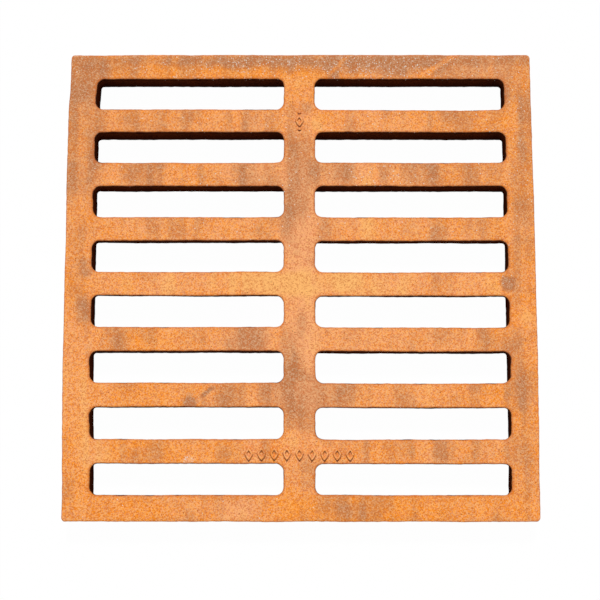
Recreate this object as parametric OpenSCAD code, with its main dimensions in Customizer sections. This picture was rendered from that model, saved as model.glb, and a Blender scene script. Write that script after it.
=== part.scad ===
// Cast-iron drain grate: one flat square casting with two columns of slots.
// The origin is the centre of the underside, +Z points up through the walking face,
// X runs along the slots and Y across them. All sizes are in millimetres.
// Every wall leans by the same casting taper, so each bar is widest near the walking
// face and each slot opens out downwards, which lets grit fall clear.

/* [Slab] */
// Overall length, along the slots
slab_l = 603; // [450:1:900]
// Overall width, across the slots
slab_w = 603; // [450:1:900]
// Thickness of the casting
slab_t = 38; // [25:1:60]
// Radius of the four outer corners, measured on the underside
corner_r = 3.5; // [3:0.5:20]

/* [Slots] */
// Width of one slot at its narrowest, just under the walking face
slot_w = 40.2; // [30:0.1:60]
// Radius of a slot's four corners, at the same height
slot_r = 10; // [3:0.5:12]
// Number of columns of slots
slot_columns = 2; // [1:1:3]

/* [Bars and rails] */
// Width of a bar between two slots
bar_w = 31; // [24:0.1:60]
// Width of the rail outside the slots' ends, on both sides
side_rail_w = 34.8; // [24:0.1:60]
// Width of the spine between two columns of slots
spine_w = 40.6; // [24:0.1:60]
// Least width that may be left for the rail beyond the first and the last slot
end_rail_min = 30; // [24:0.5:50]

/* [Casting] */
// Taper of every wall, as millimetres of lean for each millimetre of depth
taper = 0.04; // [0:0.005:0.08]
// Radius of the worn edge round the walking face
edge_r = 1.5; // [0.5:0.5:3]
// Size of the bevel round the underside
under_bevel = 1; // [0.5:0.5:2]

/* [Hidden] */
$fn = 64;
rust = [0.84, 0.47, 0.22];

// How far a cutter runs past the face that it opens
overrun = 1;

// Height at which the worn edge starts: the slab is widest and each slot narrowest there
edge_z = slab_t - edge_r;
// How far a wall leans between that height and the bevel round the underside
lean = taper * (edge_z - under_bevel);

slot_pitch = slot_w + bar_w;
slot_rows = floor((slab_w - 2 * end_rail_min + bar_w) / slot_pitch);
slot_l = (slab_l - 2 * side_rail_w - (slot_columns - 1) * spine_w) / slot_columns;

// Half section of the slab's rim, from the turning axis out to its leaning wall.
// foot is where the wall stands above the bevel, reach where the worn edge starts.
module rim_section(foot, reach) {
    polygon([
        [0, 0],
        [foot - under_bevel, 0],
        [foot, under_bevel],
        [reach, edge_z],
        [0, edge_z]
    ]);
    translate([0, edge_z]) {
        square([reach - edge_r, edge_r]);
        translate([reach - edge_r, 0])
            intersection() {
                circle(edge_r);
                square(edge_r);
            }
    }
}

// Half section of a slot, from the turning axis out to its leaning wall. The bevel and the
// worn edge flare it at its two mouths.
module opening_section(foot, reach) {
    flare = under_bevel + overrun;
    polygon([
        [0, -overrun],
        [foot + flare, -overrun],
        [foot, under_bevel],
        [reach, edge_z],
        [0, edge_z]
    ]);
    translate([0, edge_z])
        difference() {
            square([reach + edge_r, edge_r + overrun]);
            translate([reach + edge_r, 0])
                circle(edge_r);
        }
}

// Carries a half section round a rounded rectangle: a straight run along each side and a
// quarter turn in each corner. span_x and span_y are the distances between the centres of
// the corner turns, and the block between them runs from z = low to z = high.
module round_rectangle(span_x, span_y, low, high) {
    translate([-span_x / 2, -span_y / 2, low])
        cube([span_x, span_y, high - low]);
    for (quarter = [0 : 3]) {
        along = quarter % 2 == 0 ? span_y : span_x;
        across = quarter % 2 == 0 ? span_x : span_y;
        rotate([0, 0, 90 * quarter])
            translate([across / 2, -along / 2, 0]) {
                translate([0, along, 0])
                    rotate([90, 0, 0])
                        linear_extrude(along)
                            children();
                rotate([0, 0, -90])
                    rotate_extrude(angle = 90)
                        children();
            }
    }
}

module slab() {
    reach = corner_r + lean;
    round_rectangle(slab_l - 2 * reach, slab_w - 2 * reach, 0, slab_t)
        rim_section(corner_r, reach);
}

module slot() {
    round_rectangle(slot_l - 2 * slot_r, slot_w - 2 * slot_r, -overrun, slab_t + overrun)
        opening_section(slot_r + lean, slot_r);
}

// One cast piece: the slab with its slots, spread evenly about the centre of the face
module grate() {
    color(rust)
        difference() {
            slab();
            for (column = [0 : slot_columns - 1], row = [0 : slot_rows - 1])
                translate([
                    (column - (slot_columns - 1) / 2) * (slot_l + spine_w),
                    (row - (slot_rows - 1) / 2) * slot_pitch,
                    0
                ])
                    slot();
        }
}

grate();
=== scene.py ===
"""Dresses the cast-iron drain grate: a worn sand-cast skin, raised marks, rust and plain light."""
import itertools
import logging
import math
from collections.abc import Sequence
from dataclasses import dataclass
from enum import Enum

import bpy
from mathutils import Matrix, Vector, noise


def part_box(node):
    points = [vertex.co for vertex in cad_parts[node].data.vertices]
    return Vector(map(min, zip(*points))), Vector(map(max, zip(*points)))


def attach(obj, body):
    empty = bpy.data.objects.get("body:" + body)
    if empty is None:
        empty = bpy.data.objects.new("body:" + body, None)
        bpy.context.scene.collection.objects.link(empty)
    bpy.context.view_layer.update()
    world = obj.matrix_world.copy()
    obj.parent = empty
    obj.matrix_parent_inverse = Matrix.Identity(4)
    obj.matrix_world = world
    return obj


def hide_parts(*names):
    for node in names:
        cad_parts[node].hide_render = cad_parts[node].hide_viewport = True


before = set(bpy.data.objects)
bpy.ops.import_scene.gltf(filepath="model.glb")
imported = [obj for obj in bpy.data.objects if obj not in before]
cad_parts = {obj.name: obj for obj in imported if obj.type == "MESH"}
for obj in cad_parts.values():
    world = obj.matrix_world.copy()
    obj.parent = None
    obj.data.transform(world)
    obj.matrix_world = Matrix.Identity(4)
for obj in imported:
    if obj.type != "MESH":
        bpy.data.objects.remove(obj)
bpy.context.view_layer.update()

LOG = logging.getLogger("drain_grate")

NODE = "grate"
BODY = "root"
# Without a seed of its own, the vector noise differs from run to run
NOISE_SEED = 24

Plan = tuple[float, float]
Tone = tuple[float, float, float, float]
Ring = list[int]
Socket = bpy.types.NodeSocket
Tree = bpy.types.NodeTree
# A slot's column from the left and row from the front
Spot = tuple[int, int]


class Zone(Enum):
    """Region of the casting that has a finish of its own. The value is its material index."""

    FACE = 0
    SLOT_WALL = 1
    RIM = 2
    UNDERSIDE = 3


class Wear(Enum):
    """What a vertex attribute tells the finishes. The value is the attribute's name.

    Grime runs below 0 where feet and grit have rubbed an edge bright, and on the rim's front edges,
    where it is a painted highlight. Above 0 it is dirt and painted shade: on the slot walls, darker
    towards their foot, along the slots' front edges and on the front flanks of the raised marks.
    """

    AGEING = "ageing"
    GRIME_AND_PAINTED_LIGHT = "grime_and_painted_light"
    PALE_SPECKS = "pale_specks"
    POWDER = "powder"


def tone(*levels: int) -> Tone:
    """Turns a colour as a screen shows it into the linear colour that a shader takes.

    Args:
        levels: Red, green and blue, from 0 to 255.

    Returns:
        Linear red, green, blue and alpha.
    """
    shares = [level / 255 for level in levels]
    linear = [s / 12.92 if s <= 0.04045 else ((s + 0.055) / 1.055) ** 2.4 for s in shares]
    return (*linear, 1.0)


def placed(name: str, data: bpy.types.ID) -> bpy.types.Object:
    """Puts a mesh, a lamp or a camera into the scene.

    Args:
        name: The new object's name.
        data: What it shows.

    Returns:
        The new object.
    """
    made = bpy.data.objects.new(name, data)
    bpy.context.scene.collection.objects.link(made)
    return made


@dataclass(frozen=True)
class Outline:
    """An upright rectangle in plan whose corners may be round.

    Sides and corners count counter-clockwise: side 0 is the front one, which faces -Y, and
    corner 0 is the one on its left.
    """

    low: Plan
    high: Plan
    radii: tuple[float, float, float, float]

    def turn_centre(self, corner: int) -> Vector:
        """Finds the centre of one corner's turn.

        Args:
            corner: Which corner, from 0 to 3.

        Returns:
            The centre, in plan.
        """
        radius = self.radii[corner]
        at_right = corner in (1, 2)
        at_back = corner in (2, 3)
        return Vector((
            self.high[0] - radius if at_right else self.low[0] + radius,
            self.high[1] - radius if at_back else self.low[1] + radius,
        ))

    def side(self, index: int, steps: int, turn_steps: int) -> list[Plan]:
        """Lists points along one side, from the middle of one corner's turn to the next.

        Args:
            index: Which side, from 0 to 3.
            steps: How many points the side has. The next side starts with the one after.
            turn_steps: How many of them half a round corner takes.

        Returns:
            The points, in plan.
        """
        ahead = (index + 1) % 4
        facing = math.radians(90 * (index - 1))
        eighth = math.radians(45)
        start, end = self.turn_centre(index), self.turn_centre(ahead)
        start_r, end_r = self.radii[index], self.radii[ahead]
        lead = turn_steps if start_r else 0
        tail = turn_steps if end_r else 0
        run = steps - lead - tail

        def rim(centre: Vector, radius: float, angle: float) -> Vector:
            """Finds the point of a corner's turn at an angle."""
            return centre + radius * Vector((math.cos(angle), math.sin(angle)))

        first, last = rim(start, start_r, facing), rim(end, end_r, facing)
        points = [rim(start, start_r, facing - eighth * (1 - i / lead)) for i in range(lead)]
        points += [first.lerp(last, i / run) for i in range(run)]
        points += [rim(end, end_r, facing + eighth * i / tail) for i in range(tail)]
        return [tuple(point) for point in points]


@dataclass(frozen=True)
class Weathering:
    """How the sand mould and years outdoors leave the iron off its true surface, in metres."""

    swell: float = 0.0003
    swell_span: float = 0.065
    grit: float = 0.00022
    grit_span: float = 0.0075
    ragged: float = 0.0004
    ragged_span: float = 0.0058
    sway: float = 0.0006
    sway_span: float = 0.055

    def shifted(self, point: Vector, thickness: float) -> Vector:
        """Moves a point of the true surface to where the rough casting has it.

        Args:
            point: The point on the true surface.
            thickness: Thickness of the casting.

        Returns:
            The moved point, which stays between the casting's two faces.
        """
        level = 2 * point.z / thickness - 1
        swell = self.swell * (0.5 + 0.5 * noise.noise(point / self.swell_span))
        grit = self.grit * noise.noise_vector(point / self.grit_span)
        ragged = self.ragged * noise.noise_vector(point / self.ragged_span + Vector((7, 3, 5)))
        sway = self.sway * noise.noise_vector(point / self.sway_span + Vector((2, 9, 4)))
        edge = ragged + sway + Vector((summed(BOW_RIGHTWARDS, point), summed(BOW_BACKWARDS, point), 0))
        return point + grit + Vector((edge.x, edge.y, -level * (swell + self.grit / 2)))


# Where a patch has faded away, in reaches from its centre
FADED = 1.6
# How far a patch that crosses a bar reaches along Y
BAR_REACH = 0.018
# How far the patches' outlines wander, and over what span
WANDER = 0.004
WANDER_SPAN = 0.022


@dataclass(frozen=True)
class Stain:
    """A soft patch in plan that differs from the rest, in metres and degrees."""

    centre: Plan
    reach: Plan
    strength: float
    turn: float = 0.0

    def at(self, place: Vector) -> float:
        """Finds how strong the patch is at a place.

        Args:
            place: The place on the face.

        Returns:
            The patch's strength there, which fades to nothing round it.
        """
        turn = math.radians(self.turn)
        x, y = place.x - self.centre[0], place.y - self.centre[1]
        along = (x * math.cos(turn) + y * math.sin(turn)) / self.reach[0]
        across = (y * math.cos(turn) - x * math.sin(turn)) / self.reach[1]
        if max(abs(along), abs(across)) > FADED:
            return 0.0
        return self.strength * math.exp(-(along ** 4 + across ** 4))


def on_bar(y: float, *spots: tuple[float, float, float]) -> tuple[Stain, ...]:
    """Lists patches that cross a bar. Each spot gives its place and reach along X and its strength."""
    return tuple(Stain((x, y), (reach, BAR_REACH), strength) for x, reach, strength in spots)


BOW_RIGHTWARDS = (
    Stain((-0.3, 0.31), (0.15, 0.072), 0.0026),
    Stain((-0.3, -0.3), (0.15, 0.125), 0.0028),
    Stain((0.3, 0.0), (0.15, 0.262), 0.0018),
)
BOW_BACKWARDS = (
    Stain((0.16, -0.072), (0.15, 0.19), -0.0015),
    Stain((0.16, 0.23), (0.13, 0.012), -0.0012),
    Stain((-0.14, -0.072), (0.15, 0.19), -0.0006),
    Stain((0.0, -0.275), (0.4, 0.022), 0.0012),
    Stain((0.0, 0.306), (0.4, 0.012), 0.0008),
)
BACK_RAIL_AGE = (
    Stain((0.04, 0.297), (0.262, 0.01), 0.5),
    Stain((-0.07, 0.29), (0.05, 0.01), 0.35),
    Stain((-0.165, 0.286), (0.06, 0.014), 0.24),
    Stain((-0.248, 0.287), (0.014, 0.014), 0.3),
    Stain((-0.02, 0.287), (0.016, 0.014), 0.36),
    Stain((-0.06, 0.287), (0.02, 0.014), -0.2),
    Stain((0.105, 0.287), (0.098, 0.014), 0.68),
    Stain((0.208, 0.287), (0.014, 0.014), -0.3),
    Stain((0.262, 0.27), (0.04, 0.03), 0.25),
    Stain((-0.276, 0.272), (0.026, 0.036), 0.6),
    Stain((-0.205, 0.205), (0.07, 0.07), 0.13),
    Stain((0.225, 0.165), (0.062, 0.09), 0.14),
    Stain((0.05, 0.287), (0.021, 0.003), -0.6, turn=36),
    Stain((0.184, 0.288), (0.027, 0.0042), -0.62, turn=33),
    Stain((0.004, 0.256), (0.028, 0.02), -0.45),
)
SIDE_RAIL_AGE = (
    Stain((-0.285, 0.195), (0.02, 0.09), 0.36),
    Stain((-0.258, 0.11), (0.014, 0.06), 0.22),
    Stain((-0.273, 0.022), (0.012, 0.014), 0.4),
    Stain((-0.275, -0.035), (0.009, 0.014), 0.45),
    Stain((-0.264, -0.175), (0.032, 0.09), -0.35),
    Stain((0.286, 0.08), (0.015, 0.13), 0.28),
    Stain((0.284, 0.17), (0.016, 0.08), 0.24),
    Stain((0.28, -0.165), (0.018, 0.095), 0.28),
    Stain((0.2675, 0.0), (0.009, 0.0105), 1.0),
    Stain((0.275, 0.195), (0.01, 0.04), -0.35),
    Stain((0.28, -0.045), (0.022, 0.012), -0.4),
)
SPINE_AGE = (
    Stain((-0.009, 0.128), (0.008, 0.072), 0.4),
    Stain((0.003, 0.14), (0.018, 0.062), 0.25),
    Stain((-0.014, -0.11), (0.01, 0.06), 0.55),
    Stain((-0.008, -0.138), (0.014, 0.046), 0.3),
    Stain((0.0, 0.0), (0.085, 0.017), -0.5),
    Stain((0.018, -0.06), (0.011, 0.05), -0.45),
    Stain((0.02, 0.212), (0.012, 0.013), -0.45),
    Stain((-0.01, -0.2), (0.03, 0.012), -0.25),
)
BACK_BARS_AGE = (
    *on_bar(
        0.214,
        (-0.188, 0.009, 0.24), (-0.061, 0.014, 0.42), (-0.12, 0.012, 0.16), (0.19, 0.04, 0.18),
    ),
    *on_bar(
        0.142,
        (-0.2, 0.026, 0.5), (-0.07, 0.016, 0.36), (0.04, 0.026, 0.4), (0.222, 0.014, 0.35),
    ),
    *on_bar(0.144, (0.16, 0.022, 0.5)),
    *on_bar(
        0.071,
        (0.14, 0.012, 0.36), (0.005, 0.02, -0.25), (0.224, 0.018, 0.34), (-0.19, 0.08, -0.08),
    ),
    Stain((0.178, 0.064), (0.012, 0.01), 0.24),
    Stain((0.089, 0.112), (0.011, 0.068), -0.4),
    *on_bar(0.0, (-0.09, 0.14, -0.34), (0.105, 0.05, -0.42), (0.245, 0.014, -0.55)),
)
FRONT_BARS_AGE = (
    *on_bar(
        -0.071,
        (-0.23, 0.009, 0.26), (-0.064, 0.019, 0.22), (-0.12, 0.012, 0.24),
        (-0.205, 0.014, -0.2), (0.05, 0.04, -0.25), (0.24, 0.018, 0.19),
    ),
    Stain((-0.136, -0.1525), (0.0072, 0.0062), 1.0),
    Stain((-0.1165, -0.1385), (0.0105, 0.003), 0.95, turn=42),
    *on_bar(
        -0.142,
        (-0.084, 0.018, 0.46), (-0.036, 0.016, 0.4), (0.066, 0.022, 0.38), (0.205, 0.012, 0.19),
        (0.17, 0.013, -0.3), (-0.002, 0.02, -0.15),
    ),
    *on_bar(-0.214, (0.08, 0.014, 0.28), (-0.125, 0.022, -0.24), (0.025, 0.014, -0.25)),
    *on_bar(-0.212, (0.184, 0.018, 0.42)),
    Stain((0.13, -0.21), (0.016, 0.016), 0.36),
    Stain((0.065, -0.287), (0.022, 0.01), 0.22),
    Stain((-0.2, -0.287), (0.03, 0.014), -0.3),
    Stain((-0.09, -0.287), (0.03, 0.014), -0.25),
)
OLD_PATCHES = BACK_RAIL_AGE + SIDE_RAIL_AGE + SPINE_AGE + BACK_BARS_AGE + FRONT_BARS_AGE
PALE_PATCHES = (
    Stain((0.082, 0.288), (0.07, 0.012), 1.0),
    Stain((-0.065, 0.291), (0.055, 0.009), 0.8),
    Stain((-0.15, 0.282), (0.04, 0.012), 0.25),
    Stain((0.165, 0.283), (0.06, 0.016), 0.25),
    Stain((0.118, 0.142), (0.045, 0.014), 0.45),
    Stain((0.075, 0.214), (0.04, 0.012), 0.25),
    Stain((-0.139, -0.223), (0.0044, 0.0044), 6.0),
    Stain((0.2675, 0.0), (0.009, 0.0105), 0.7),
    Stain((0.0, 0.282), (0.3, 0.02), 0.26),
    Stain((0.03, 0.16), (0.25, 0.09), 0.08),
    Stain((0.285, 0.17), (0.016, 0.12), 0.18),
    Stain((-0.11, -0.285), (0.19, 0.016), 0.03),
)
POWDER_PATCHES = (
    Stain((0.0, 0.02), (0.262, 0.21), 0.2),
    Stain((0.0, 0.02), (0.022, 0.2), 0.7),
    *on_bar(0.214, (0.215, 0.04, -0.25)),
    *on_bar(0.142, (0.075, 0.11, 0.35), (-0.066, 0.03, 0.3)),
    *on_bar(0.0, (0.0, 0.115, 0.12)),
    *on_bar(-0.071, (-0.06, 0.03, 0.6), (-0.205, 0.03, -0.25)),
    *on_bar(-0.142, (-0.01, 0.06, 0.55)),
    *on_bar(-0.214, (-0.17, 0.04, -0.3)),
    *on_bar(-0.287, (0.06, 0.11, -0.4), (-0.24, 0.04, -0.25)),
    Stain((-0.06, -0.214), (0.012, 0.016), 0.5),
    Stain((-0.262, -0.214), (0.016, 0.02), 0.45),
    Stain((0.282, 0.071), (0.016, 0.02), 0.45),
    Stain((-0.08, -0.287), (0.026, 0.016), 0.65),
    Stain((-0.139, -0.223), (0.004, 0.004), 4.0),
    Stain((0.112, 0.287), (0.06, 0.014), 0.34),
    Stain((0.235, 0.28), (0.05, 0.02), 0.5),
    Stain((-0.1, 0.287), (0.19, 0.016), -0.5),
)


def summed(patches: Sequence[Stain], place: Vector) -> float:
    """Adds up the patches at one place."""
    return sum(patch.at(place) for patch in patches)


def patched(patches: Sequence[Stain], place: Vector) -> float:
    """Adds up the patches at one place of the walking face, with wandering outlines."""
    return summed(patches, place + WANDER * noise.noise_vector(place / WANDER_SPAN))


@dataclass
class Skin:
    """A mesh in the making, wound up from rings of points.

    Points that fall on the same mark of a fine grid are one. The grid is in marks a metre, and
    the face starts at a share of the thickness.
    """

    thickness: float
    weathering: Weathering
    grid: float = 1e7
    face_from: float = 0.95

    def __post_init__(self) -> None:
        """Starts with no points and no faces."""
        self.points: list[Vector] = []
        self.grime_and_painted_light: list[float] = []
        self.faces: list[tuple[int, ...]] = []
        self.zones: list[Zone] = []
        self.known: dict[tuple[int, int, int], int] = {}

    def vertex(self, point: Vector, grime_and_painted_light: float, seat: Vector | None = None) -> int:
        """Adds a point, or finds it again where a neighbour has added it.

        Args:
            point: The point on the true surface.
            grime_and_painted_light: Its grime, from -1, rubbed bright, to 1, with painted light and
                shade in it.
            seat: The point whose weathering it follows, if that isn't its own.

        Returns:
            The point's number.
        """
        key = tuple(round(value * self.grid) for value in point)
        if key not in self.known:
            own = seat or point
            self.known[key] = len(self.points)
            self.points.append(point + self.weathering.shifted(own, self.thickness) - own)
            self.grime_and_painted_light.append(grime_and_painted_light)
        return self.known[key]

    def ring(self, outline: Sequence[Plan], height: float, grime_and_painted_light: Sequence[float] = ()) -> Ring:
        """Adds a closed ring of points at one height.

        Args:
            outline: The ring in plan, counter-clockwise.
            height: Its height.
            grime_and_painted_light: Each point's grime. Clean if it isn't given.

        Returns:
            The points' numbers.
        """
        spread = grime_and_painted_light or [0.0] * len(outline)
        return [
            self.vertex(Vector((x, y, height)), dirt_and_shade)
            for (x, y), dirt_and_shade in zip(outline, spread, strict=True)
        ]

    def wind(self, rings: Sequence[Ring], zones: Sequence[Zone]) -> None:
        """Joins each ring to the next one with a band of faces.

        Seen from outside the metal, each ring runs left of the way to the next one.

        Args:
            rings: The rings, all with the same number of points.
            zones: The zone of each band.
        """
        for ring, after, zone in zip(rings, rings[1:], zones, strict=False):
            for i in range(len(ring)):
                ahead = (i + 1) % len(ring)
                self.faces.append((after[i], after[ahead], ring[ahead], ring[i]))
                self.zones.append(zone)

    def cap(self, ring: Ring, zone: Zone) -> None:
        """Closes a ring with one face. The ring is counter-clockwise, seen from outside the metal."""
        self.faces.append(tuple(ring))
        self.zones.append(zone)

    def spread_over_face(self, patches: Sequence[Stain]) -> list[float]:
        """Reads patches of the walking face at every point, as 0 at those below the face."""
        edge_z = self.thickness * self.face_from
        return [patched(patches, p) if p.z > edge_z else 0.0 for p in self.points]

    def piece(self, name: str, finishes: Sequence[bpy.types.Material]) -> bpy.types.Object:
        """Makes the mesh and dresses it.

        Args:
            name: The piece's name.
            finishes: The material of each zone, in the order of their values.

        Returns:
            The new object.
        """
        mesh = bpy.data.meshes.new(name)
        mesh.from_pydata(self.points, [], self.faces)
        for finish in finishes:
            mesh.materials.append(finish)
        mesh.polygons.foreach_set("material_index", [zone.value for zone in self.zones])
        mesh.shade_smooth()
        wear = {
            Wear.GRIME_AND_PAINTED_LIGHT: self.grime_and_painted_light,
            Wear.AGEING: self.spread_over_face(OLD_PATCHES),
            Wear.PALE_SPECKS: self.spread_over_face(PALE_PATCHES),
            Wear.POWDER: self.spread_over_face(POWDER_PATCHES),
        }
        for kind, values in wear.items():
            layer = mesh.attributes.new(kind.value, "FLOAT", "POINT")
            layer.data.foreach_set("value", values)
        return placed(name, mesh)


def frontness(plan: Sequence[Plan], inward: bool) -> list[float]:
    """Tells how squarely the wall at each point of a ring faces the front.

    Args:
        plan: The ring in plan, counter-clockwise.
        inward: Whether the wall faces the middle of the ring.

    Returns:
        For each point, from 0 where the wall faces sideways or back to 1 where it faces -Y.
    """
    facing = -1 if inward else 1
    ways = [
        Vector(after) - Vector(before)
        for before, after in zip((plan[-1], *plan[:-1]), (*plan[1:], plan[0]), strict=True)
    ]
    return [max(facing * way.x / way.length, 0.0) for way in ways]


def between(inner: Sequence[Plan], outer: Sequence[Plan], share: float) -> list[Plan]:
    """Lists the points that lie a share of the way from one ring to the next."""
    pairs = zip(inner, outer, strict=True)
    return [(a[0] + (b[0] - a[0]) * share, a[1] + (b[1] - a[1]) * share) for a, b in pairs]


@dataclass(frozen=True)
class Level:
    """One level of the casting's walls, in metres.

    Grime runs from -1, rubbed bright, to 1, and holds painted light and shade as well as dirt. It
    differs on the edges that face the front, away from the lamp: painted shade on the slots' front edges
    and a painted highlight on the rim's. More dirt is caught along an edge where a noise is over a
    level.
    """

    inset: float
    height: float
    grime_and_painted_light: float
    front_grime_and_painted_light: float
    catch: float = 0.0
    catch_span: float = 0.018
    catch_over: float = 0.1

    def round_ring(self, plan: Sequence[Plan], inward: bool) -> list[float]:
        """Finds the grime at each point of a ring at this level.

        Args:
            plan: The ring in plan, counter-clockwise.
            inward: Whether the metal's wall faces the middle of the ring.

        Returns:
            The grime of each point.
        """
        spread = []
        for (x, y), front in zip(plan, frontness(plan, inward), strict=True):
            caught = max(noise.noise(Vector((x, y, 0)) / self.catch_span) - self.catch_over, 0.0)
            wear = self.grime_and_painted_light + (self.front_grime_and_painted_light - self.grime_and_painted_light) * front
            spread.append(wear + self.catch * caught)
        return spread


@dataclass(frozen=True)
class WallGrimeAndPaintedLight:
    """How dirty a kind of wall is, painted light and shade included: its worn edge's stain and caught
    dirt, its top and its foot.

    The stain grows towards the wall by a share, partly dirt and partly painted shade. Where the worn
    edge faces the front, its inner and outer half take other values: painted shade on the slots' front
    edges, and a painted highlight on the outer half of the rim's.
    """

    stain_and_shade: float
    catch: float
    top: float
    foot: float
    front: tuple[float, float]
    growth: float = 0.4


@dataclass(frozen=True)
class Casting:
    """The grate's one cast piece: rim, spine and bars round two columns of slots.

    Sizes are in metres, and step counts say how finely the skin is divided. Crowding draws the
    divisions of a face towards the slots. The leans are those of the slots' back walls, by row
    from the front, and of the first column's left ends.
    """

    low: Vector
    high: Vector
    rows: int = 8
    columns: int = 2
    slot_w: float = 0.0402
    slot_r: float = 0.010
    slot_foot_r: float = 0.0038
    bar_w: float = 0.031
    side_rail_w: float = 0.0348
    spine_w: float = 0.0406
    corner_r: float = 0.0035
    taper: float = 0.04
    edge_r: float = 0.0015
    bevel: float = 0.001
    long_steps: int = 88
    short_steps: int = 20
    turn_steps: int = 6
    face_steps: int = 8
    wall_steps: int = 6
    edge_steps: int = 3
    underside_steps: int = 4
    crowding: float = 1.25
    far_lean: tuple[float, ...] = (-1.2e-3, -0.8e-3, -1.2e-3, 2.0e-3, 1.5e-3, -1.0e-3, -2.2e-3, -1.0e-3)
    end_lean: float = -0.0008
    # On the slots, the darkening from top to foot and the dark outer half of the front edges are painted
    # shade.
    slot_grime_and_painted_shade: WallGrimeAndPaintedLight = WallGrimeAndPaintedLight(stain_and_shade=0.44, catch=4.5, top=0.3, foot=0.9, front=(0.44, 1.0))
    # On the rim, the front edges' outer half, below 0, is a painted highlight.
    rim_grime_and_painted_light: WallGrimeAndPaintedLight = WallGrimeAndPaintedLight(stain_and_shade=0.44, catch=0.8, top=0.05, foot=0.6, front=(0.4, -0.4))

    @property
    def thickness(self) -> float:
        """Thickness of the casting."""
        return self.high.z - self.low.z

    @property
    def edge_z(self) -> float:
        """Height at which the worn edge round the walking face starts."""
        return self.high.z - self.edge_r

    @property
    def lean(self) -> float:
        """How far a wall leans between the worn edge and the bevel."""
        return self.taper * (self.edge_z - self.bevel)

    @property
    def slot_l(self) -> float:
        """Length of one slot."""
        clear = self.high.x - self.low.x - 2 * self.side_rail_w
        return (clear - (self.columns - 1) * self.spine_w) / self.columns

    def slot_centre(self, spot: Spot) -> Plan:
        """Finds the centre of one slot, in plan."""
        x = (spot[0] - (self.columns - 1) / 2) * (self.slot_l + self.spine_w)
        return x, (spot[1] - (self.rows - 1) / 2) * (self.slot_w + self.bar_w)

    def slot(self, spot: Spot, inset: float, height: float) -> Outline:
        """Draws one slot at one depth.

        Its corners grow tighter towards the underside, and the foot of its back wall and of its
        left end stands a little off the true taper, as cast.

        Args:
            spot: Which slot.
            inset: How far the metal stands back from the slot's narrowest outline.
            height: The depth's height above the floor.

        Returns:
            The slot's outline.
        """
        x, y = self.slot_centre(spot)
        half_l, half_w = self.slot_l / 2 + inset, self.slot_w / 2 + inset
        depth = min(max((self.edge_z - height) / (self.edge_z - self.bevel), 0.0), 1.0)
        radius = (self.slot_r + inset) * (1 - depth) + self.slot_foot_r * depth
        left = x - half_l - (self.end_lean * depth if spot[0] == 0 else 0)
        back = y + half_w + self.far_lean[spot[1]] * depth
        return Outline((left, y - half_w), (x + half_l, back), (radius,) * 4)

    def cell(self, spot: Spot, inset: float) -> Outline:
        """Draws the patch round one slot, which ends midway along each bar or at the rim.

        Args:
            spot: Which slot.
            inset: How far the metal stands back from the slab's widest outline.

        Returns:
            The patch's outline, round only where it holds a corner of the slab.
        """
        x, y = self.slot_centre(spot)
        half_l, half_w = (self.slot_l + self.spine_w) / 2, (self.slot_w + self.bar_w) / 2
        left, right = spot[0] == 0, spot[0] == self.columns - 1
        front, back = spot[1] == 0, spot[1] == self.rows - 1
        turn = self.corner_r + self.lean - inset
        ends = ((left, front), (right, front), (right, back), (left, back))
        return Outline(
            (self.low.x + inset if left else x - half_l, self.low.y + inset if front else y - half_w),
            (self.high.x - inset if right else x + half_l, self.high.y - inset if back else y + half_w),
            tuple(turn if all(end) else 0.0 for end in ends),
        )

    def side_steps(self, side: int) -> int:
        """Tells how many points a side of a slot or of its patch has."""
        return self.short_steps if side % 2 else self.long_steps

    def loop(self, outline: Outline) -> list[Plan]:
        """Lists the points all round one slot or its patch, counter-clockwise."""
        sides = [outline.side(side, self.side_steps(side), self.turn_steps) for side in range(4)]
        return [point for side in sides for point in side]

    def rim_loop(self, inset: float) -> list[Plan]:
        """Lists the points all round the slab, shared with the patches along its rim.

        Args:
            inset: How far the metal stands back from the slab's widest outline.

        Returns:
            The points, counter-clockwise.
        """
        columns, rows = range(self.columns), range(self.rows)
        walk = [(0, (column, 0)) for column in columns]
        walk += [(1, (columns[-1], row)) for row in rows]
        walk += [(2, (column, rows[-1])) for column in reversed(columns)]
        walk += [(3, (0, row)) for row in reversed(rows)]
        return [
            point
            for side, spot in walk
            for point in self.cell(spot, inset).side(side, self.side_steps(side), self.turn_steps)
        ]

    def wall_levels(self, wear: WallGrimeAndPaintedLight) -> list[Level]:
        """Lists the levels of a wall, from the walking face down to the underside.

        Args:
            wear: How dirty the wall is, painted light and shade included.

        Returns:
            The levels.
        """
        levels = []
        for step in range(self.edge_steps + 1):
            share = step / self.edge_steps
            turn = math.radians(90) * (1 - share)
            # The worn edge darkens towards the wall, partly dirt and partly painted shade.
            levels.append(Level(
                inset=self.edge_r * (1 - math.cos(turn)),
                height=self.edge_z + self.edge_r * math.sin(turn),
                grime_and_painted_light=wear.stain_and_shade * (1 + wear.growth * share),
                front_grime_and_painted_light=wear.front[share > 0.5],
                catch=wear.catch * share ** 2,
            ))
        for step in range(1, self.wall_steps + 1):
            share = step / self.wall_steps
            drop = (self.edge_z - self.bevel) * share
            # The wall darkens from top to foot; on the slot walls this is painted shade.
            grime_and_painted_light = wear.top + (wear.foot - wear.top) * share
            levels.append(Level(self.taper * drop, self.edge_z - drop, grime_and_painted_light, grime_and_painted_light))
        levels.append(Level(self.lean + self.bevel, self.low.z, wear.foot, wear.foot))
        return levels

    def shares(self, steps: int) -> list[float]:
        """Tells where a face's rings lie, from 0 at a slot to 1 at the edge of its patch."""
        return [(step / steps) ** self.crowding for step in range(1, steps + 1)]

    def wind_slot(self, skin: Skin, spot: Spot) -> None:
        """Winds one slot's wall and the two faces round it.

        Args:
            skin: The mesh in the making.
            spot: Which slot.
        """
        levels = self.wall_levels(self.slot_grime_and_painted_shade)
        top_inset, bottom_inset = levels[0].inset, levels[-1].inset

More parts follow.
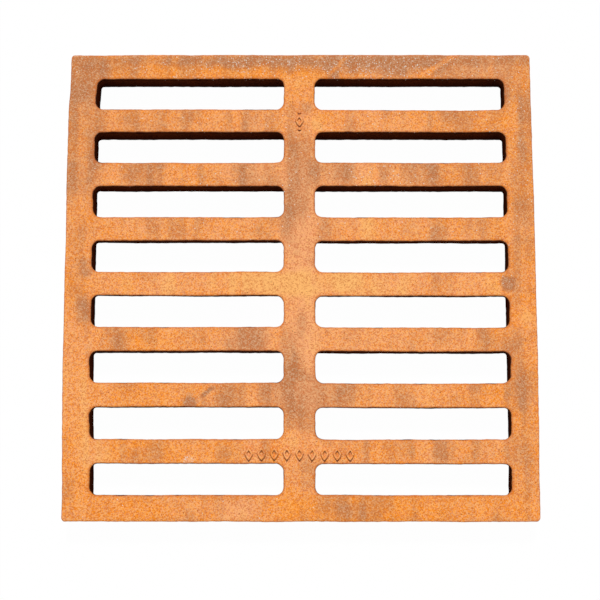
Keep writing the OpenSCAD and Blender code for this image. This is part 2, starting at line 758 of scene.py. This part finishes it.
        def spread(inset: float, steps: int, height: float) -> list[Ring]:
            """Rings one face from the slot out to the edge of its patch, the first left out."""
            inner, outer = self.loop(self.slot(spot, inset, height)), self.loop(self.cell(spot, inset))
            return [skin.ring(between(inner, outer, share), height) for share in self.shares(steps)]

        wall = []
        for level in reversed(levels):
            plan = self.loop(self.slot(spot, level.inset, level.height))
            wall.append(skin.ring(plan, level.height, level.round_ring(plan, inward=True)))
        underside = spread(bottom_inset, self.underside_steps, self.low.z)
        face = spread(top_inset, self.face_steps, self.high.z)
        zones = [Zone.UNDERSIDE] * self.underside_steps
        zones += [Zone.SLOT_WALL] * (self.wall_steps + 1)
        zones += [Zone.FACE] * (self.edge_steps + self.face_steps)
        skin.wind([*reversed(underside), *wall, *face], zones)

    def wind_rim(self, skin: Skin) -> None:
        """Winds the slab's outer wall.

        Args:
            skin: The mesh in the making.
        """
        rings = []
        for level in self.wall_levels(self.rim_grime_and_painted_light):
            plan = self.rim_loop(level.inset)
            rings.append(skin.ring(plan, level.height, level.round_ring(plan, inward=False)))
        zones = [Zone.FACE] * self.edge_steps + [Zone.RIM] * (self.wall_steps + 1)
        skin.wind(rings, zones)

    def build(self, skin: Skin) -> None:
        """Winds the whole casting.

        Args:
            skin: The mesh in the making.
        """
        for spot in itertools.product(range(self.columns), range(self.rows)):
            self.wind_slot(skin, spot)
        self.wind_rim(skin)


@dataclass(frozen=True)
class RaisedMarks:
    """Plain cast marks on the walking face: a row of lozenges, and one between two pips.

    Sizes are in metres. The casting gives the bars that the marks stand on. A mark's flank has levels
    from its foot, sunk in the face, to its top. Each gives a height and a grime: the dark foot and flank
    are painted shade and partly dirt, strongest on the front flanks as a painted shadow, and the top is
    rubbed bright.
    """

    casting: Casting
    skin: Skin
    count: int = 9
    row_l: float = 0.137
    lozenge_w: float = 0.0098
    lozenge_h: float = 0.0146
    row_drop: float = 0.003
    stroke: float = 0.0024
    relief: float = 0.0011
    sink: float = 0.0009
    flank: float = 0.0003
    fillet: float = 0.0009
    fillet_h: float = 0.00022
    shoulder: float = 0.8
    pip_r: float = 0.0021
    pip_shares: tuple[float, ...] = (1.5, 1.35, 1.0, 0.75, 0.35)
    pip_reach: float = 0.0112
    steps: int = 36
    sharpness: float = 1.55
    # Back-facing flanks take this share of the darkening; the rest, on the front flanks, is painted
    # shadow.
    back_share_without_painted_shadow: float = 0.42

    @property
    def levels(self) -> list[tuple[float, float]]:
        """Height and grime of each level of a mark's flank, from its foot to its top: a dark foot and
        flank, which are painted shade and partly dirt, and a top rubbed bright.
        """
        bend = [(-self.sink, 0.6), (self.fillet_h / 2, 0.6), (self.fillet_h, 1.0)]
        return [*bend, (self.relief * self.shoulder, 0.9), (self.relief, -0.3)]

    @property
    def turns(self) -> list[float]:
        """Angles of the points round a mark."""
        return [math.tau * i / self.steps for i in range(self.steps)]

    def pinched(self, swing: float) -> float:
        """Changes a sine or cosine so that a circle becomes a lozenge with hollow sides."""
        return math.copysign(abs(swing) ** self.sharpness, swing)

    def place(
        self, centre: Plan, plan: Sequence[Plan], height: float, grime_and_painted_light: float, inward: bool
    ) -> Ring:
        """Adds one ring of a mark, which rises and dips with the face under it.

        Args:
            centre: The mark's centre.
            plan: The ring about that centre.
            height: Its height above the walking face.
            grime_and_painted_light: Its grime where it faces the front: dirt with a painted shadow.
                Elsewhere it is thinner, with less painted shadow.
            inward: Whether the mark's flank faces its middle here.

        Returns:
            The points' numbers.
        """
        top = self.casting.high.z
        ring = []
        for (x, y), front in zip(plan, frontness(plan, inward), strict=True):
            seat = Vector((centre[0] + x, centre[1] + y, top))
            # Front-facing flanks get the full darkening as a painted shadow.
            share = self.back_share_without_painted_shadow + (1 - self.back_share_without_painted_shadow) * front
            ring.append(self.skin.vertex(seat + Vector((0, 0, height)), grime_and_painted_light * share, seat))
        return ring

    def lozenge(self, centre: Plan) -> None:
        """Winds a raised lozenge with an open middle.

        Args:
            centre: Its centre.
        """
        half_w, half_h = (self.lozenge_w - self.stroke) / 2, (self.lozenge_h - self.stroke) / 2
        flat = half_w * half_h / math.hypot(half_w, half_h)
        half = self.stroke / 2
        foot = half + self.fillet
        offsets = (foot + self.flank, foot, half, half - self.flank, half - 2 * self.flank)
        rise = [(offset, z, grime_and_painted_light) for offset, (z, grime_and_painted_light) in zip(offsets, self.levels, strict=True)]
        section = [(-offset, z, grime_and_painted_light) for offset, z, grime_and_painted_light in rise] + rise[::-1]

        def plan(offset: float) -> list[Plan]:
            """Draws the lozenge, grown by an offset."""
            w, h = (half * ((flat + offset) / flat) for half in (half_w, half_h))
            return [(w * self.pinched(math.cos(t)), h * self.pinched(math.sin(t))) for t in self.turns]

        rings = [
            self.place(centre, plan(offset), z, grime_and_painted_light, inward=offset < 0)
            for offset, z, grime_and_painted_light in section
        ]
        self.skin.wind([*rings, rings[0]], [Zone.FACE] * len(rings))

    def pip(self, centre: Plan) -> None:
        """Winds a small raised dome.

        Args:
            centre: Its centre.
        """
        def plan(share: float) -> list[Plan]:
            """Draws a circle of a share of the pip's radius."""
            radius = self.pip_r * share
            return [(radius * math.cos(t), radius * math.sin(t)) for t in self.turns]

        rings = [
            self.place(centre, plan(share), z, grime_and_painted_light, inward=False)
            for share, (z, grime_and_painted_light) in zip(self.pip_shares[::-1], self.levels[::-1], strict=True)
        ]
        self.skin.wind(rings, [Zone.FACE] * len(rings))
        self.skin.cap(rings[0], Zone.FACE)
        self.skin.cap(rings[-1][::-1], Zone.FACE)

    def bar_centre(self, bar: int) -> float:
        """Finds the middle of the bar behind a row of slots, counted from the front."""
        half_pitch = (self.casting.slot_w + self.casting.bar_w) / 2
        return self.casting.slot_centre((0, bar))[1] + half_pitch

    def build(self) -> None:
        """Winds all the marks."""
        pitch = (self.row_l - self.lozenge_w) / (self.count - 1)
        row_y = self.bar_centre(0) - self.row_drop
        for i in range(self.count):
            self.lozenge(((i - (self.count - 1) / 2) * pitch, row_y))
        single_y = self.bar_centre(self.casting.rows - 2)
        self.lozenge((0.0, single_y))
        for side in (-1, 1):
            self.pip((0.0, single_y + side * self.pip_reach))


@dataclass(frozen=True)
class Graph:
    """A short way to wire a shader node tree, which is a material's, a group's or the world's."""

    tree: Tree

    def link(self, value: Socket, socket: Socket) -> None:
        """Feeds an output into an input."""
        self.tree.links.new(value, socket)

    def node(self, kind: str, inputs: dict[str | int, object], **settings: object) -> bpy.types.Node:
        """Adds a node.

        Args:
            kind: Blender's name for it.
            inputs: For each input, a plain value or the output that feeds it.
            settings: The node's own settings.

        Returns:
            The new node.
        """
        made = self.tree.nodes.new(kind)
        for name, value in settings.items():
            setattr(made, name, value)
        for key, value in inputs.items():
            if isinstance(value, Socket):
                self.link(value, made.inputs[key])
            else:
                made.inputs[key].default_value = value
        return made

    def group(self, tree: Tree, inputs: dict[str | int, object]) -> bpy.types.Node:
        """Places a node group, whose inputs are given as any node's."""
        return self.node("ShaderNodeGroup", inputs, node_tree=tree)

    def maths(self, operation: str, a: object, b: object = 0.0) -> Socket:
        """Works out a sum of two values or outputs, by Blender's name for the operation."""
        return self.node("ShaderNodeMath", {0: a, 1: b}, operation=operation).outputs[0]

    def ramp(self, value: Socket, low: object, high: object) -> Socket:
        """Takes a smooth step, which is 0 where the value is low and 1 where it is high."""
        inputs = {"Value": value, "From Min": low, "From Max": high}
        return self.node("ShaderNodeMapRange", inputs, interpolation_type="SMOOTHSTEP").outputs["Result"]

    def blend(self, share: object, a: object, b: object) -> Socket:
        """Mixes two colours, with b's share given."""
        return self.node("ShaderNodeMix", {0: share, 6: a, 7: b}, data_type="RGBA").outputs[2]

    def clouds(self, place: Socket, scale: object, detail: float) -> Socket:
        """Reads a cloud noise about 0.5. Scale is in clouds a metre, and detail in finer layers."""
        inputs = {"Vector": place, "Scale": scale, "Detail": detail, "Roughness": 0.6}
        return self.node("ShaderNodeTexNoise", inputs).outputs["Fac"]


FLOAT = "NodeSocketFloat"
COLOUR = "NodeSocketColor"
PLACE = "NodeSocketVector"


def effect(
    name: str, inputs: dict[str, str], outputs: dict[str, str]
) -> tuple[Graph, bpy.types.NodeOutputs, bpy.types.NodeInputs]:
    """Starts a shader node group.

    Args:
        name: The group's name.
        inputs: The socket type of each input.
        outputs: The socket type of each output.

    Returns:
        The group's graph, what it is given, and what it gives.
    """
    tree = bpy.data.node_groups.new(name, "ShaderNodeTree")
    for socket, kind in inputs.items():
        tree.interface.new_socket(name=socket, in_out="INPUT", socket_type=kind)
    for socket, kind in outputs.items():
        tree.interface.new_socket(name=socket, in_out="OUTPUT", socket_type=kind)
    given = tree.nodes.new("NodeGroupInput").outputs
    return Graph(tree), given, tree.nodes.new("NodeGroupOutput").inputs


class Effects:
    """The shader node groups that the finishes share."""

    def __init__(self) -> None:
        """Builds each group once."""
        self.grain = self.build_grain()
        self.bloom = self.build_bloom()
        self.specks = self.build_specks()
        self.wear = self.build_rub_dirt_and_painted_light()

    @staticmethod
    def build_grain() -> Tree:
        """Builds the moulding sand's grain: a mottle, dust among the grains, and a height.

        Returns:
            The group.
        """
        graph, given, out = effect(
            "moulding_sand_grain",
            {"Place": PLACE, "Grains": FLOAT},
            {"Mottle": FLOAT, "Dust": FLOAT, "Height": FLOAT},
        )
        place, scale = given["Place"], given["Grains"]
        inputs = {"Vector": place, "Scale": scale, "Detail": 2.0, "Roughness": 0.7}
        clouds = graph.node("ShaderNodeTexNoise", inputs).outputs["Color"]
        finer = graph.maths("MULTIPLY", scale, 1.2)
        grains = graph.node("ShaderNodeTexVoronoi", {"Vector": place, "Scale": finer}).outputs["Color"]
        layers = graph.node("ShaderNodeSeparateColor", {0: graph.blend(0.35, clouds, grains)}).outputs
        graph.link(graph.ramp(layers[0], 0.28, 0.72), out["Mottle"])
        graph.link(graph.ramp(layers[1], 0.37, 0.63), out["Dust"])
        graph.link(layers[0], out["Height"])
        return graph.tree

    @staticmethod
    def build_bloom() -> Tree:
        """Builds the rust's colours: patches and bands of two ages, with grains among them.

        Returns:
            The group.
        """
        graph, given, out = effect(
            "rust_bloom",
            {
                "Place": PLACE, "Mottle": FLOAT, "Dust": FLOAT, "Ageing": FLOAT, "Banding": FLOAT,
                "Streaks": PLACE, "Powdering": FLOAT, "Contrast": FLOAT, "Fresh": COLOUR,
                "Powder": COLOUR, "Old": COLOUR, "Deep": COLOUR, "Pale": COLOUR, "Frost": COLOUR,
            },
            {"Colour": COLOUR},
        )
        place, mottle, dust = given["Place"], given["Mottle"], given["Dust"]
        patches = graph.maths("MULTIPLY", graph.ramp(graph.clouds(place, 20.0, 3), 0.40, 0.66), 0.34)
        inputs = {0: place, 1: given["Streaks"]}
        stretched = graph.node("ShaderNodeVectorMath", inputs, operation="MULTIPLY").outputs[0]
        strips = graph.clouds(stretched, 1.0, 1)
        bands = graph.maths("MULTIPLY", graph.ramp(strips, 0.42, 0.60), given["Banding"])
        age = graph.maths("ADD", graph.maths("ADD", patches, bands), given["Ageing"])
        old = graph.ramp(graph.maths("ADD", age, graph.maths("MULTIPLY", dust, 0.12)), 0.12, 1.15)
        drifts = graph.maths("MULTIPLY", graph.ramp(graph.clouds(place, 15.0, 4), 0.36, 0.64), 0.4)
        powdery = graph.maths("ADD", graph.maths("ADD", dust, drifts), given["Powdering"])
        fresh = graph.blend(graph.ramp(powdery, 0.0, 1.5), given["Fresh"], given["Powder"])
        young = graph.blend(graph.ramp(age, 0.15, -0.65), fresh, given["Pale"])
        colour = graph.blend(old, young, given["Old"])
        dark = graph.maths("MULTIPLY", graph.ramp(mottle, 0.5, 0.0), given["Contrast"])
        light = graph.maths("MULTIPLY", graph.ramp(mottle, 0.5, 1.0), given["Contrast"])
        colour = graph.blend(dark, colour, given["Deep"])
        frosty = graph.blend(old, given["Pale"], given["Frost"])
        colour = graph.blend(light, colour, frosty)
        graph.link(colour, out["Colour"])
        return graph.tree

    @staticmethod
    def build_specks() -> Tree:
        """Builds sparse specks, as pits or grains that stand alone.

        Returns:
            The group.
        """
        graph, given, out = effect(
            "lone_specks",
            {"Place": PLACE, "Cells": FLOAT, "Share": FLOAT, "Size": FLOAT},
            {"Mask": FLOAT},
        )
        inputs = {"Vector": given["Place"], "Scale": given["Cells"]}
        cells = graph.node("ShaderNodeTexVoronoi", inputs)
        chance = graph.node("ShaderNodeSeparateColor", {0: cells.outputs["Color"]}).outputs[0]
        picked = graph.maths("LESS_THAN", chance, given["Share"])
        size = given["Size"]
        inside = graph.ramp(cells.outputs["Distance"], size, graph.maths("MULTIPLY", size, 0.4))
        graph.link(graph.maths("MULTIPLY", inside, picked), out["Mask"])
        return graph.tree

    @staticmethod
    def build_rub_dirt_and_painted_light() -> Tree:
        """Builds what use does to a finish, with painted light and shade: rubbed edges, dirt in pits,
        and dark edges and feet that are partly dirt and partly painted shade.

        Returns:
            The group.
        """
        graph, given, out = effect(
            "rub_dirt_and_painted_light",
            {
                "Colour": COLOUR, "Grime and painted light": FLOAT, "Pits": FLOAT,
                "Rubbed and painted highlight": COLOUR, "Stained": COLOUR, "Dirt and shade": COLOUR,
            },
            {"Colour": COLOUR, "Dirt and shade": FLOAT},
        )
        grime_and_painted_light = given["Grime and painted light"]
        rub_and_painted_highlight = graph.maths("MAXIMUM", graph.maths("MULTIPLY", grime_and_painted_light, -0.7), 0.0)
        dirt_and_shade = graph.maths("MAXIMUM", grime_and_painted_light, graph.maths("MULTIPLY", given["Pits"], 0.7))
        colour = graph.blend(rub_and_painted_highlight, given["Colour"], given["Rubbed and painted highlight"])
        stain_and_shade = graph.blend(graph.ramp(dirt_and_shade, 0.35, 0.8), given["Stained"], given["Dirt and shade"])
        graph.link(graph.blend(dirt_and_shade, colour, stain_and_shade), out["Colour"])
        graph.link(dirt_and_shade, out["Dirt and shade"])
        return graph.tree


@dataclass(frozen=True)
class RustFinish:
    """Rusted, sand-cast iron.

    Tones are linear colours, and relief is in metres. Grains and cells are in counts a metre, and
    a pit's and a fleck's size is a share of its cell.
    """

    name: str
    fresh: Tone
    powder: Tone
    old: Tone
    deep: Tone
    pale: Tone
    rubbed_and_painted_highlight: Tone
    dirt_and_shade: Tone
    frost: Tone = tone(224, 184, 146)
    fleck: Tone = tone(234, 218, 204)
    ageing: float = 0.0
    banding: float = 0.30
    streaks: tuple[float, float, float] = (48.0, 5.0, 5.0)
    contrast: float = 0.58
    grains: float = 560.0
    pits: float = 0.07
    pit_cells: float = 330.0
    pit_size: float = 0.36
    pit_depth: float = 0.15
    flecks: float = 0.3
    fleck_cells: float = 460.0
    fleck_size: float = 0.45
    relief: float = 0.0004
    gloss: float = 0.3
    roughness: tuple[float, float] = (0.72, 0.92)

    def material(self, effects: Effects) -> bpy.types.Material:
        """Builds the material.

        Args:
            effects: The shared node groups.

        Returns:
            The material.
        """
        made = bpy.data.materials.new(self.name)
        made.use_nodes = True
        made.diffuse_color = self.fresh
        graph = Graph(made.node_tree)
        shader = made.node_tree.nodes["Principled BSDF"]
        place = graph.node("ShaderNodeTexCoord", {}).outputs["Object"]
        ageing, grime_and_painted_light, pale, powder = [
            graph.node("ShaderNodeAttribute", {}, attribute_name=wear.value).outputs["Fac"]
            for wear in Wear
        ]
        grain = graph.group(effects.grain, {"Place": place, "Grains": self.grains}).outputs
        bloom = graph.group(effects.bloom, {
            "Place": place, "Mottle": grain["Mottle"], "Dust": grain["Dust"],
            "Ageing": graph.maths("ADD", ageing, self.ageing),
            "Banding": self.banding, "Streaks": self.streaks,
            "Powdering": powder, "Contrast": self.contrast,
            "Fresh": self.fresh, "Powder": self.powder, "Old": self.old,
            "Deep": self.deep, "Pale": self.pale, "Frost": self.frost,
        }).outputs
        pits = graph.group(effects.specks, {
            "Place": place, "Cells": self.pit_cells, "Share": self.pits, "Size": self.pit_size,
        }).outputs
        # The grime attribute brings rubbed edges and dirt here, together with painted shade and painted
        # highlights.
        worn_and_painted_light = graph.group(effects.wear, {
            "Colour": bloom["Colour"], "Grime and painted light": grime_and_painted_light, "Pits": pits["Mask"],
            "Rubbed and painted highlight": self.rubbed_and_painted_highlight, "Stained": self.deep, "Dirt and shade": self.dirt_and_shade,
        }).outputs
        flecks = graph.group(effects.specks, {
            "Place": place, "Cells": self.fleck_cells,
            "Share": graph.maths("MULTIPLY", pale, self.flecks), "Size": self.fleck_size,
        }).outputs
        low, high = self.roughness
        rough = graph.maths("ADD", graph.maths("MULTIPLY", grain["Mottle"], high - low), low)
        sunk = graph.maths("MULTIPLY", worn_and_painted_light["Dirt and shade"], self.pit_depth)
        height = graph.maths("SUBTRACT", grain["Height"], sunk)
        bump = graph.node("ShaderNodeBump", {"Height": height, "Strength": 1.0, "Distance": self.relief})
        colour = graph.blend(flecks["Mask"], worn_and_painted_light["Colour"], self.fleck)
        shader.inputs["Specular IOR Level"].default_value = self.gloss
        graph.link(colour, shader.inputs["Base Color"])
        graph.link(rough, shader.inputs["Roughness"])
        graph.link(bump.outputs["Normal"], shader.inputs["Normal"])
        return made


FINISHES = {
    Zone.FACE: RustFinish(
        name="walking_face_rust",
        fresh=tone(253, 144, 0), powder=tone(250, 173, 120), old=tone(184, 122, 76),
        deep=tone(198, 97, 25), pale=tone(255, 187, 110), rubbed_and_painted_highlight=tone(255, 190, 124),
        dirt_and_shade=tone(104, 46, 18), frost=tone(228, 181, 147), contrast=0.60, grains=600.0,
    ),
    # Slot walls: a darker rust whose near-black browns are painted shade, so the walls look deep in
    # shadow.
    Zone.SLOT_WALL: RustFinish(
        name="slot_wall_rust_painted_shade", frost=tone(130, 76, 44),
        fresh=tone(116, 48, 16), powder=tone(124, 60, 28), old=tone(98, 48, 26),
        deep=tone(78, 28, 8), pale=tone(150, 76, 34), rubbed_and_painted_highlight=tone(150, 84, 40),
        dirt_and_shade=tone(64, 22, 6), ageing=0.2, banding=0.5, streaks=(42.0, 42.0, 5.0),
        contrast=0.5, gloss=0.0, relief=0.0007,
    ),
    Zone.RIM: RustFinish(
        name="rim_rust",
        fresh=tone(226, 120, 34), powder=tone(220, 142, 92), old=tone(150, 92, 62),
        deep=tone(168, 76, 24), pale=tone(240, 160, 96), rubbed_and_painted_highlight=tone(244, 168, 96),
        dirt_and_shade=tone(104, 50, 22), ageing=0.15, banding=0.4, streaks=(46.0, 46.0, 5.0),
        relief=0.0008,
    ),
    Zone.UNDERSIDE: RustFinish(
        name="underside_rust",
        fresh=tone(208, 112, 34), powder=tone(204, 130, 82), old=tone(136, 86, 60),
        deep=tone(156, 70, 22), pale=tone(222, 148, 90), rubbed_and_painted_highlight=tone(228, 154, 86),
        dirt_and_shade=tone(92, 46, 22), ageing=0.3, relief=0.0006,
    ),
}


@dataclass(frozen=True)
class Grate:
    """The dressed grate: its skin wound from the casting and its marks, with their finishes."""

    casting: Casting

    def build(self, effects: Effects) -> None:
        """Builds and dresses the piece that stands for the plain casting.

        Args:
            effects: The shared node groups.
        """
        skin = Skin(self.casting.thickness, Weathering())
        self.casting.build(skin)
        RaisedMarks(self.casting, skin).build()
        finishes = [FINISHES[zone].material(effects) for zone in Zone]
        piece = skin.piece("grate_casting", finishes)
        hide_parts(NODE)
        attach(piece, BODY)
        LOG.info("%s: %d points, %d faces", piece.name, len(skin.points), len(skin.faces))


@dataclass(frozen=True)
class Camera:
    """The photograph's camera, in metres and in pixels of its square frame."""

    frame_px: float = 600.0
    focal_px: float = 1213.4
    tilt: float = 0.1214
    foot: Plan = (0.00074, -0.2098)
    height: float = 1.5409
    sensor_mm: float = 36.0

    def build(self, face_z: float) -> None:
        """Sets up the camera above the walking face.

        Args:
            face_z: Height of the walking face.
        """
        data = bpy.data.cameras.new("photo_camera")
        data.sensor_width = self.sensor_mm
        data.lens = self.sensor_mm * self.focal_px / self.frame_px
        made = placed("photo_camera", data)
        made.location = (*self.foot, face_z + self.height)
        made.rotation_euler = (self.tilt, 0, 0)
        bpy.context.scene.camera = made
        LOG.info("%s: %.1f mm lens", made.name, data.lens)


@dataclass(frozen=True)
class Studio:
    """A plain pale floor under one soft lamp and an even sky. Angles are in degrees."""

    floor_size: float = 12.0
    floor_drop: float = 0.0004
    floor_grey: float = 0.98
    floor_glow: float = 0.985
    lamp_height: float = 52.0
    lamp_softness: float = 9.0
    lamp_strength: float = 2.6
    sky_strength: float = 0.34

    @staticmethod
    def seen(graph: Graph) -> Socket:
        """Tells the rays that show the background from those that light the object.

        Args:
            graph: The tree that asks.

        Returns:
            1 where the background shows, straight or in a reflection, and 0 elsewhere.
        """
        path = graph.node("ShaderNodeLightPath", {}).outputs
        shown = graph.maths("ADD", path["Is Camera Ray"], path["Is Glossy Ray"])
        return graph.maths("MINIMUM", graph.maths("ADD", shown, path["Is Transmission Ray"]), 1.0)

    def floor(self, low_z: float) -> None:
        """Lays the floor just under the grate.

        Args:
            low_z: Height of the grate's underside.
        """
        half = self.floor_size / 2
        corners = [(-half, -half, 0), (half, -half, 0), (half, half, 0), (-half, half, 0)]
        mesh = bpy.data.meshes.new("floor")
        mesh.from_pydata(corners, [], [(0, 1, 2, 3)])
        finish = bpy.data.materials.new("pale_floor")
        finish.use_nodes = True
        graph = Graph(finish.node_tree)
        finish.node_tree.nodes.remove(finish.node_tree.nodes["Principled BSDF"])
        grey = (self.floor_grey,) * 3 + (1.0,)
        matt = graph.node("ShaderNodeBsdfDiffuse", {"Color": grey})
        glow = graph.node("ShaderNodeEmission", {"Color": (1, 1, 1, 1), "Strength": 1.0})
        share = graph.maths("MULTIPLY", self.seen(graph), self.floor_glow)
        mixed = graph.node("ShaderNodeMixShader", {0: share, 1: matt.outputs[0], 2: glow.outputs[0]})
        graph.link(mixed.outputs[0], finish.node_tree.nodes["Material Output"].inputs["Surface"])
        mesh.materials.append(finish)
        made = placed("floor", mesh)
        made.location.z = low_z - self.floor_drop

    def lamp(self) -> None:
        """Hangs the soft lamp behind the grate, as the photograph has it."""
        data = bpy.data.lights.new("soft_lamp", "SUN")
        data.energy = self.lamp_strength
        data.angle = math.radians(self.lamp_softness)
        placed("soft_lamp", data).rotation_euler = (math.radians(self.lamp_height - 90), 0, 0)

    def sky(self) -> None:
        """Makes the sky an even, dim light that shows as white."""
        world = bpy.data.worlds.new("studio")
        world.use_nodes = True
        graph = Graph(world.node_tree)
        light = world.node_tree.nodes["Background"]
        lift = graph.maths("MULTIPLY", self.seen(graph), 1 - self.sky_strength)
        light.inputs["Color"].default_value = (1, 1, 1, 1)
        graph.link(graph.maths("ADD", lift, self.sky_strength), light.inputs["Strength"])
        bpy.context.scene.world = world

    def build(self, low_z: float) -> None:
        """Sets up the floor, the lamp and the sky.

        Args:
            low_z: Height of the grate's underside.
        """
        self.floor(low_z)
        self.lamp()
        self.sky()
        bpy.context.scene.view_settings.view_transform = "Standard"


def main() -> None:
    """Builds the camera, the grate and the studio, in that order."""
    logging.basicConfig(level=logging.INFO, format="%(name)s: %(message)s")
    noise.seed_set(NOISE_SEED)
    low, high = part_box(NODE)
    Camera().build(high.z)
    Grate(Casting(low, high)).build(Effects())
    Studio().build(low.z)


if __name__ == "__main__":
    main()
